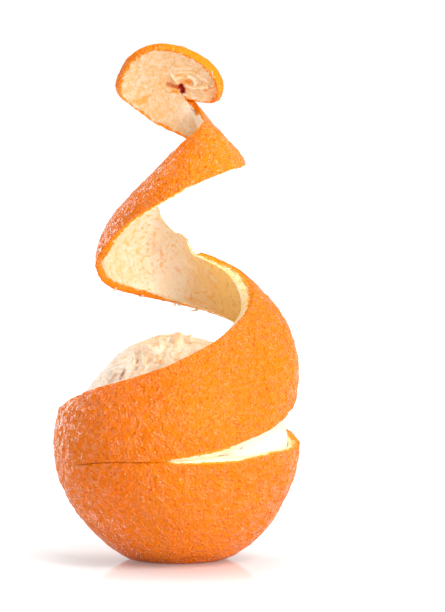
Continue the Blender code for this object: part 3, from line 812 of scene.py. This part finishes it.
# ---------------------------------------------------------------- materials
class Tree:
    """Short hand for building a node tree."""

    def __init__(self, name):
        self.mat = bpy.data.materials.new(name)
        self.mat.use_nodes = True
        self.t = self.mat.node_tree
        self.bsdf = self.t.nodes["Principled BSDF"]
        self.pos = self.new("ShaderNodeTexCoord").outputs["Object"]

    def new(self, kind, **props):
        n = self.t.nodes.new(kind)
        for k, v in props.items():
            setattr(n, k, v)
        return n

    def put(self, sock, value):
        if isinstance(value, bpy.types.NodeSocket):
            self.t.links.new(value, sock)
        elif value is not None:
            if hasattr(sock.default_value, "__len__") and hasattr(value, "__len__") and len(value) == 3 and len(sock.default_value) == 4:
                value = (*value, 1.0)
            sock.default_value = value

    def attr(self, name):
        n = self.new("ShaderNodeAttribute", attribute_name=name)
        return n.outputs["Fac"]

    def math(self, op, a, b=None, c=None, clamp=False):
        n = self.new("ShaderNodeMath", operation=op, use_clamp=clamp)
        for s_, v in zip(n.inputs, (a, b, c)):
            self.put(s_, v)
        return n.outputs[0]

    def ramp(self, x, lo, hi, out_lo=0.0, out_hi=1.0, smooth=True):
        n = self.new("ShaderNodeMapRange", interpolation_type='SMOOTHSTEP' if smooth else 'LINEAR')
        for k, v in (("Value", x), ("From Min", lo), ("From Max", hi), ("To Min", out_lo), ("To Max", out_hi)):
            self.put(n.inputs[k], v)
        return n.outputs["Result"]

    def mix(self, f, a, b, blend='MIX'):
        n = self.new("ShaderNodeMix", data_type='RGBA', blend_type=blend)
        self.put(n.inputs["Factor"], f)
        self.put(n.inputs[6], a)
        self.put(n.inputs[7], b)
        return n.outputs[2]

    def noise(self, per_mm, detail=2.0, rough=0.5, seed=0.0, stretch=None):
        vec = self.pos
        m = self.new("ShaderNodeMapping")
        self.put(m.inputs["Vector"], vec)
        m.inputs["Location"].default_value = (seed * 0.0137, seed * 0.0071, seed * 0.0093)
        if stretch:
            m.inputs["Scale"].default_value = stretch
        n = self.new("ShaderNodeTexNoise")
        self.put(n.inputs["Vector"], m.outputs[0])
        n.inputs["Scale"].default_value = per_mm * 1000.0
        n.inputs["Detail"].default_value = detail
        n.inputs["Roughness"].default_value = rough
        return n.outputs["Fac"]

    def voronoi(self, per_mm, feature='F1', seed=0.0, randomness=1.0, smooth=None):
        m = self.new("ShaderNodeMapping")
        self.put(m.inputs["Vector"], self.pos)
        m.inputs["Location"].default_value = (seed * 0.0113, seed * 0.0057, seed * 0.0079)
        n = self.new("ShaderNodeTexVoronoi", feature=feature)
        self.put(n.inputs["Vector"], m.outputs[0])
        n.inputs["Scale"].default_value = per_mm * 1000.0
        n.inputs["Randomness"].default_value = randomness
        if smooth is not None:
            n.inputs["Smoothness"].default_value = smooth
        return n.outputs["Distance"]

    def bump(self, height, distance, strength=1.0, normal=None):
        n = self.new("ShaderNodeBump")
        n.inputs["Strength"].default_value = strength
        n.inputs["Distance"].default_value = distance
        self.put(n.inputs["Height"], height)
        if normal is not None:
            self.put(n.inputs["Normal"], normal)
        return n.outputs["Normal"]


DULL_RELIEF, GLOSS_RELIEF = 0.62, 1.2


def peel_material():
    t = Tree("peel_zest_and_pith")
    skin, face = t.attr("skin"), t.attr("face")
    # zest: deep orange with slow changes of tone and darker oil glands
    slow = t.noise(0.035, 2.0, 0.5, 1)
    mid = t.noise(0.16, 3.0, 0.55, 2)
    fine = t.noise(0.9, 2.0, 0.5, 3)
    pores = t.voronoi(0.82, 'F1', 4)
    # relief of the skin, heights in mm about nought: pebbles, wider swells and pores
    pebble = t.math('MULTIPLY_ADD', t.noise(1.10, 1.0, 0.5, 31), 1.5, -0.75)
    place = t.new("ShaderNodeSeparateXYZ")
    t.put(place.inputs[0], t.pos)
    lively = t.ramp(t.math('ABSOLUTE', place.outputs["X"]), 0.014, 0.036, 1.0, 2.6)
    pebble = t.math('MULTIPLY', pebble, t.ramp(place.outputs["X"], 0.016, 0.034, 0.9, 1.5))
    swell = t.math('MULTIPLY', t.math('SUBTRACT', t.noise(0.30, 1.0, 0.5, 32), 0.5), lively)
    pore_h = t.math('MULTIPLY_ADD', t.ramp(pores, 0.02, 0.42), 0.26, -0.16)
    tiny = t.math('MULTIPLY_ADD', fine, 0.08, -0.04)
    h = t.math('ADD', t.math('ADD', pore_h, pebble), t.math('ADD', tiny, swell))
    relief = t.math('ADD', pore_h, pebble)
    zest = t.mix(t.ramp(slow, 0.35, 0.65), (0.825, 0.170, 0.0008), (0.84, 0.195, 0.0014))
    # painted light: the zest is painted a lighter red towards its left side, to make up for the shade there
    zest = t.mix(t.ramp(place.outputs["X"], -0.006, -0.020, 0.0, 0.8), zest, (0.91, 0.180, 0.0011))
    zest = t.mix(t.ramp(mid, 0.45, 0.75, 0.0, 0.35), zest, (0.875, 0.225, 0.002))
    # painted shade and highlight: the zest is painted darker and redder in the grooves and pores, and paler on the
    # pebble tops
    zest = t.mix(t.ramp(relief, 0.03, -0.42, 0.0, 0.32), zest, (0.86, 0.125, 0.0003))
    zest = t.mix(t.ramp(relief, 0.0, 0.42, 0.0, 0.18), zest, (0.885, 0.255, 0.003))
    rare = t.voronoi(0.36, 'F1', 14)
    dots = t.ramp(rare, 0.09, 0.24, 1.0, 0.0)
    zest = t.mix(t.math('MULTIPLY', dots, 0.75), zest, (0.68, 0.085, 0.0008))
    # pith: cream, mottled, with small tan and orange flecks
    pn = t.noise(0.10, 3.0, 0.6, 7)
    pf = t.noise(0.75, 3.0, 0.6, 8)
    mottle = t.noise(0.42, 3.0, 0.6, 9)
    pith = t.mix(t.ramp(pn, 0.35, 0.7), (0.80, 0.58, 0.35), (0.84, 0.67, 0.48))
    pith = t.mix(t.ramp(mottle, 0.50, 0.32, 0.0, 0.8), pith, (0.86, 0.70, 0.56))
    pith = t.mix(t.ramp(mottle, 0.52, 0.66, 0.0, 0.75), pith, (0.80, 0.50, 0.20))
    # painted light: the pith is painted paler in a band down the middle, where the light falls
    middle = t.math('MULTIPLY', t.ramp(place.outputs["X"], -0.014, -0.007), t.ramp(place.outputs["X"], 0.007, 0.0))
    pith = t.mix(t.math('MULTIPLY', middle, 0.6), pith, (0.84, 0.78, 0.64))
    # painted glow: light through the peel, painted warm orange on the pith
    pith = t.mix(t.math('MULTIPLY', t.attr("warm"), 0.85), pith, (0.98, 0.66, 0.20))
    flecks = t.math('MULTIPLY', t.ramp(pf, 0.53, 0.62), t.ramp(pn, 0.34, 0.56, 0.25, 1.0))
    pith = t.mix(t.math('MULTIPLY', flecks, 0.7), pith, (0.80, 0.44, 0.10))
    pith = t.mix(t.ramp(t.noise(1.0, 3.0, 0.65, 10), 0.55, 0.65, 0.0, 0.45), pith, (0.80, 0.50, 0.18))
    # cut face: whiter, with fine streaks down it
    cutn = t.noise(1.1, 2.0, 0.6, 11)
    cut = t.mix(t.ramp(cutn, 0.35, 0.7), (0.84, 0.60, 0.24), (0.90, 0.78, 0.50))
    cut = t.mix(t.ramp(t.noise(0.75, 3.0, 0.6, 12), 0.56, 0.66, 0.0, 0.6), cut, (0.90, 0.46, 0.09))
    on_wall = t.math('SUBTRACT', 1.0, t.math('ABSOLUTE', t.math('SUBTRACT', face, 1.0)), clamp=True)
    cap = t.attr("cap")
    pith = t.mix(t.math('MULTIPLY', on_wall, t.math('SUBTRACT', 1.0, cap, clamp=True)), pith, cut)
    # scar, marks and creases of the stem piece; the lines along the beak's crease are painted shade
    cf = t.math('MULTIPLY_ADD', t.noise(2.0, 3.0, 0.65, 15), 0.55, t.math('MULTIPLY', t.noise(0.55, 2.0, 0.6, 16), 0.45))
    cap_tone = t.mix(t.ramp(cf, 0.40, 0.58), (0.71, 0.52, 0.36), (0.64, 0.36, 0.135))
    cap_tone = t.mix(t.ramp(t.noise(0.12, 2.0, 0.5, 17), 0.45, 0.65, 0.0, 0.45), cap_tone, (0.70, 0.38, 0.13))
    cap_tone = t.mix(t.ramp(cf, 0.58, 0.70, 0.0, 0.9), cap_tone, (0.78, 0.32, 0.05))
    pith = t.mix(t.math('MULTIPLY', cap, 0.95), pith, cap_tone)
    # painted light: paler pith where it lies in shade
    pith = t.mix(t.attr("bright"), pith, (0.96, 0.86, 0.68))
    pith = t.mix(t.attr("pale"), pith, (0.90, 0.74, 0.50))
    pith = t.mix(t.math('MULTIPLY', t.attr("blush"), 0.85), pith, (0.82, 0.28, 0.02))
    pith = t.mix(t.attr("brown"), pith, (0.47, 0.10, 0.02))
    pith = t.mix(t.attr("scar"), pith, (0.25, 0.002, 0.002))
    # where the zest ends
    jags = t.ramp(t.noise(0.7, 2.0, 0.6, 21), 0.25, 0.75, -0.28, 0.28, False)
    ragged = t.math('ADD', skin, t.math('MULTIPLY', jags, t.math('MULTIPLY_ADD', on_wall, 0.7, t.math('MULTIPLY_ADD', cap, 1.2, 1.0))))
    is_pith = t.ramp(ragged, 0.80, 1.25)
    zedge = t.ramp(skin, 0.02, 0.5)
    zest = t.mix(t.math('MULTIPLY', cap, 0.65), zest, (0.86, 0.215, 0.002))
    zest_in = t.mix(zedge, zest, t.mix(cap, (0.93, 0.29, 0.005), (0.88, 0.225, 0.005)))
    color = t.mix(is_pith, zest_in, pith)
    t.put(t.bsdf.inputs["Base Color"], color)
    is_zest = t.math('SUBTRACT', 1.0, is_pith, clamp=True)
    t.bsdf.inputs["Roughness"].default_value = 0.6
    t.bsdf.inputs["Specular IOR Level"].default_value = 0.12
    # the waxy skin's gloss lies over the whole relief; light that enters the skin evens it out
    # the skin shines in scattered patches and hardly at all between them
    shine = t.ramp(t.noise(0.55, 2.0, 0.6, 41), 0.43, 0.55, 0.05, 1.0)
    shine = t.math('MULTIPLY', shine, t.ramp(face, 0.3, 0.7, 1.0, 0.15))       # a cut through the zest is dull
    t.put(t.bsdf.inputs["Coat Weight"], t.math('MULTIPLY', is_zest, shine))
    t.bsdf.inputs["Coat Roughness"].default_value = 0.125
    t.bsdf.inputs["Coat IOR"].default_value = 1.45
    ph = t.math('ADD', t.math('MULTIPLY_ADD', pf, 0.35, -0.175), t.math('MULTIPLY_ADD', cutn, 0.12, -0.06))
    mixh = t.new("ShaderNodeMix", data_type='FLOAT')
    t.put(mixh.inputs[0], is_pith); t.put(mixh.inputs[2], h); t.put(mixh.inputs[3], ph)
    t.put(t.bsdf.inputs["Normal"], t.bump(mixh.outputs[0], 0.001 * DULL_RELIEF))
    t.put(t.bsdf.inputs["Coat Normal"], t.bump(h, 0.001 * GLOSS_RELIEF))
    t.bsdf.inputs["IOR"].default_value = 1.45
    t.bsdf.inputs["Subsurface Weight"].default_value = 0.2
    t.bsdf.inputs["Subsurface Radius"].default_value = (1.0, 0.35, 0.12)
    t.bsdf.inputs["Subsurface Scale"].default_value = 0.003
    return t.mat


def fruit_material():
    t = Tree("fruit_pith")
    a = t.noise(0.07, 3.0, 0.55, 1)
    b = t.noise(0.45, 3.0, 0.6, 2)
    c = t.noise(0.16, 2.0, 0.6, 3, stretch=(1.0, 1.0, 0.45))
    col = t.mix(t.ramp(a, 0.35, 0.68), (0.75, 0.49, 0.29), (0.81, 0.60, 0.405))
    place = t.new("ShaderNodeSeparateXYZ")
    t.put(place.inputs[0], t.pos)
    # painted light: the fruit is painted paler towards its left side, to make up for the shade there
    col = t.mix(t.ramp(place.outputs["X"], -0.008, -0.020, 0.0, 0.85), col, (0.94, 0.82, 0.70))
    col = t.mix(t.math('MULTIPLY', t.attr("strand"), 0.8), col, (0.88, 0.73, 0.56))
    d = t.noise(0.24, 3.0, 0.6, 6)
    veins = t.ramp(t.math('ABSOLUTE', t.math('SUBTRACT', d, 0.5)), 0.0, 0.03, 1.0, 0.0)
    col = t.mix(t.math('MULTIPLY', t.math('MULTIPLY', veins, t.ramp(a, 0.65, 0.45)), 0.6), col, (0.74, 0.42, 0.17))
    spots = t.math('MULTIPLY', t.ramp(b, 0.60, 0.70), t.ramp(c, 0.46, 0.60))
    col = t.mix(t.math('MULTIPLY', spots, 0.75), col, (0.60, 0.30, 0.11))
    # painted light: the fruit is painted paler in the shaded gap between the bowl's rim and the ribbon
    col = t.mix(t.attr("white"), col, (0.93, 0.82, 0.66))
    col = t.mix(t.attr("tan"), col, (0.70, 0.38, 0.14))
    col = t.mix(t.attr("blush"), col, (0.80, 0.26, 0.03))
    col = t.mix(t.attr("brown"), col, (0.44, 0.12, 0.02))
    t.put(t.bsdf.inputs["Base Color"], col)
    t.bsdf.inputs["Roughness"].default_value = 0.62
    t.bsdf.inputs["IOR"].default_value = 1.4
    t.bsdf.inputs["Subsurface Weight"].default_value = 0.25
    t.bsdf.inputs["Subsurface Radius"].default_value = (1.0, 0.5, 0.25)
    t.bsdf.inputs["Subsurface Scale"].default_value = 0.003
    h = t.math('ADD', b, t.math('MULTIPLY', t.noise(1.4, 2.0, 0.5, 5), 0.4))
    t.put(t.bsdf.inputs["Normal"], t.bump(h, 0.0004, 0.8))
    return t.mat


FIBRES = (
    # azimuth of the root on the ribbon's lower edge, then steps across and up (mm), thickness
    (496.5, ((-0.3, -0.5), (-0.9, -0.8)), 0.36), (473.0, ((-0.7, -0.2), (-1.3, -0.1)), 0.30),
    (452.0, ((-0.1, -0.6), (0.3, -1.0)), 0.40), (450.0, ((0.4, -0.5), (0.9, -0.6)), 0.34),
    (438.5, ((-0.9, -0.35), (-2.2, -0.6)), 0.42),
    (741.0, ((-0.1, -0.6), (-0.4, -1.2)), 0.30), (736.5, ((0.2, -0.7), (0.1, -1.3)), 0.32),
)


def build_fibres():
    """Short torn fibres on the ribbon's lower edge, each a closed tapering tube rooted in the peel."""
    P, faces, n, k = [], [], 0, 6
    for az, way, thick in FIBRES:
        e = along(LOWER_EDGE, np.array(az))
        t_ = float(along(THICKNESS, np.array(az)))
        root = around(az, e[0] - 0.4 * t_, e[1] + 0.55)
        pts = np.array([root, around(az, e[0] - 0.4 * t_, e[1] - 0.05)]
                       + [root + np.array((a, 0, b - 0.45)) for a, b in way])
        fine = [pts[0]]
        for a, b in zip(pts[:-1], pts[1:]):
            fine += [a + (b - a) * f for f in (0.5, 1.0)]
        pts = np.array(fine)
        pts[1:-1] = (pts[:-2] + 2 * pts[1:-1] + pts[2:]) / 4
        m = len(pts)
        for i, c in enumerate(pts):
            d = pts[min(i + 1, m - 1)] - pts[max(i - 1, 0)]
            d /= np.linalg.norm(d)
            u = np.cross(d, (0, 1, 0)); u /= np.linalg.norm(u)
            w = np.cross(d, u)
            r = 1.25 * thick * (1 - 0.7 * i / (m - 1))
            for j in range(k):
                q = 2 * pi * j / k
                P.append(c + r * (cos(q) * u + sin(q) * w))
        for i in range(m - 1):
            for j in range(k):
                a, b = n + i * k + j, n + i * k + (j + 1) % k
                faces.append([a, b, b + k, a + k])
        faces.append([n + j for j in range(k)][::-1])
        faces.append([n + (m - 1) * k + j for j in range(k)])
        n += m * k
    P = np.array(P)
    z = np.zeros(n)
    info = {"skin": z + 1.3, "face": z + 2.0, "scar": z, "brown": z, "blush": z + 0.35, "pale": z + 0.7, "cap": z,
            "warm": z, "bright": z, "edge": z}
    return P, faces, info


peel_look = peel_material()
fibres = mesh_object("peel_fibres", *build_fibres(), peel_look, "peel", "peel")
peel = mesh_object("peel_surface", *build_peel(), peel_look, "peel", "peel")
fruit = mesh_object("fruit_surface", *build_fruit(), fruit_material(), "fruit", "fruit")


# ---------------------------------------------------------------- stage, light, camera
def stage():
    """White table that fades into the backdrop, polished only close round the object."""
    me = bpy.data.meshes.new("floor")
    s_ = 30.0
    me.from_pydata([(-s_, -s_, 0), (s_, -s_, 0), (s_, s_, 0), (-s_, s_, 0)], [], [(0, 1, 2, 3)])
    t = Tree("floor_white")
    b = t.bsdf
    b.inputs["Base Color"].default_value = (0.80, 0.80, 0.80, 1)
    b.inputs["Roughness"].default_value = 0.8
    b.inputs["Specular IOR Level"].default_value = 0.0
    b.inputs["Emission Color"].default_value = (1, 1, 1, 1)
    gloss = t.new("ShaderNodeBsdfAnisotropic")
    gloss.inputs["Color"].default_value = (1, 1, 1, 1)
    gloss.inputs["Roughness"].default_value = 0.06
    dist = t.new("ShaderNodeVectorMath", operation='LENGTH')
    t.put(dist.inputs[0], t.pos)
    seen = t.new("ShaderNodeLightPath").outputs["Is Camera Ray"]
    place = t.new("ShaderNodeSeparateXYZ")
    t.put(place.inputs[0], t.pos)
    away = t.math('MAXIMUM', t.ramp(t.math('ABSOLUTE', place.outputs["X"]), 0.026, 0.050),
                  t.math('MAXIMUM', t.ramp(place.outputs["Y"], -0.01, 0.03), t.ramp(dist.outputs["Value"], 0.09, 0.14)))
    bright = t.math('MULTIPLY_ADD', away, FLOOR_AWAY, FLOOR_SEEN)
    glow = t.math('MULTIPLY_ADD', seen, bright, FLOOR_GLOW)
    t.put(b.inputs["Emission Strength"], t.ramp(dist.outputs["Value"], 0.10, 0.60, glow, FLOOR_FAR))
    share = t.ramp(dist.outputs["Value"], 0.022, 0.105, 0.50, 0.0)
    mixed = t.new("ShaderNodeMixShader")
    t.put(mixed.inputs[0], share)
    t.t.links.new(b.outputs[0], mixed.inputs[1])
    t.t.links.new(gloss.outputs[0], mixed.inputs[2])
    out = t.t.nodes["Material Output"]
    t.t.links.new(mixed.outputs[0], out.inputs["Surface"])
    me.materials.append(t.mat)
    ob = bpy.data.objects.new("floor", me)
    bpy.context.scene.collection.objects.link(ob)


def softbox(name, direction, distance, size, size_y, power, aim=(0, 0, 0.075)):
    li = bpy.data.lights.new(name, 'AREA')
    li.shape = 'RECTANGLE'
    li.size, li.size_y = size, size_y
    li.energy = power
    ob = bpy.data.objects.new(name, li)
    d = Vector(direction).normalized() * distance
    ob.location = Vector(aim) + d
    ob.rotation_euler = (-d).to_track_quat('-Z', 'Y').to_euler()
    bpy.context.scene.collection.objects.link(ob)
    ob.visible_camera = False
    return ob


FLOOR_GLOW, FLOOR_SEEN, FLOOR_AWAY, FLOOR_FAR = 0.17, 0.10, 0.35, 0.70
LIGHTS = (
    # name, direction from the object, distance, width, height, watts
    ("key_high", (0.48, -0.50, 0.80), 0.9, 0.4, 0.4, 5.7),
    ("key_low", (0.85, -0.80, 0.22), 0.9, 0.4, 0.4, 3.1),
    ("key_side", (0.85, -0.50, 0.45), 0.9, 0.25, 0.45, 3.2),
    ("back_left", (-0.55, 0.80, 0.15), 0.9, 0.35, 0.8, 3.0),
)
SURROUND = (
    # axis, sign, from, to, strength of light from that side
    ("Z", 1, 0.1, 0.9, 0.56),
    ("Y", 1, -0.05, 0.5, 0.66),
    ("X", -1, 0.1, 0.9, 0.30),
    ("X", 1, 0.25, 0.85, -0.45),
)
SURROUND_ALL = 0.0

stage()
for row in LIGHTS:
    softbox(*row)


def studio():
    """White surroundings: plain white to look at; as light, brighter behind the object than in front."""
    world = bpy.data.worlds.new("studio")
    world.use_nodes = True
    nt = world.node_tree
    seen = nt.nodes["Background"]
    seen.inputs["Color"].default_value = (1, 1, 1, 1)
    seen.inputs["Strength"].default_value = 1.0
    light = nt.nodes.new("ShaderNodeBackground")
    light.inputs["Color"].default_value = (1, 1, 1, 1)
    way = nt.nodes.new("ShaderNodeTexCoord")
    split = nt.nodes.new("ShaderNodeSeparateXYZ")
    nt.links.new(way.outputs["Generated"], split.inputs[0])
    total = None
    for k, (axis, sign, lo, hi, amount) in enumerate(SURROUND):
        grade = nt.nodes.new("ShaderNodeMapRange")
        grade.name = "side%d" % k
        grade.interpolation_type = 'SMOOTHSTEP'
        for key, val in (("From Min", sign * lo), ("From Max", sign * hi), ("To Min", 0.0), ("To Max", amount)):
            grade.inputs[key].default_value = val
        nt.links.new(split.outputs[axis], grade.inputs["Value"])
        add = nt.nodes.new("ShaderNodeMath")
        add.operation = 'ADD'
        add.inputs[0].default_value = SURROUND_ALL
        add.name = "sum%d" % k
        if total:
            nt.links.new(total, add.inputs[0])
        nt.links.new(grade.outputs["Result"], add.inputs[1])
        total = add.outputs[0]
    least = nt.nodes.new("ShaderNodeMath")
    least.operation = 'MAXIMUM'
    least.inputs[1].default_value = 0.0
    nt.links.new(total, least.inputs[0])
    nt.links.new(least.outputs[0], light.inputs["Strength"])
    path = nt.nodes.new("ShaderNodeLightPath")
    mix = nt.nodes.new("ShaderNodeMixShader")
    nt.links.new(path.outputs["Is Camera Ray"], mix.inputs[0])
    nt.links.new(light.outputs[0], mix.inputs[1])
    nt.links.new(seen.outputs[0], mix.inputs[2])
    nt.links.new(mix.outputs[0], nt.nodes["World Output"].inputs["Surface"])
    bpy.context.scene.world = world


studio()

cam_data = bpy.data.cameras.new("camera")
cam_data.sensor_width = 36.0
cam_data.lens = 36.0 * 1200.0 / (612 * 0.328)
cam_data.clip_start, cam_data.clip_end = 0.05, 100.0
cam = bpy.data.objects.new("camera", cam_data)
cam.location = (0.014924, -1.198355, 0.146103)
cam.rotation_euler = (radians(87.0), 0, 0)
bpy.context.scene.collection.objects.link(cam)
bpy.context.scene.camera = cam

bpy.context.scene.view_settings.view_transform = 'Standard'
bpy.context.scene.view_settings.look = 'None'
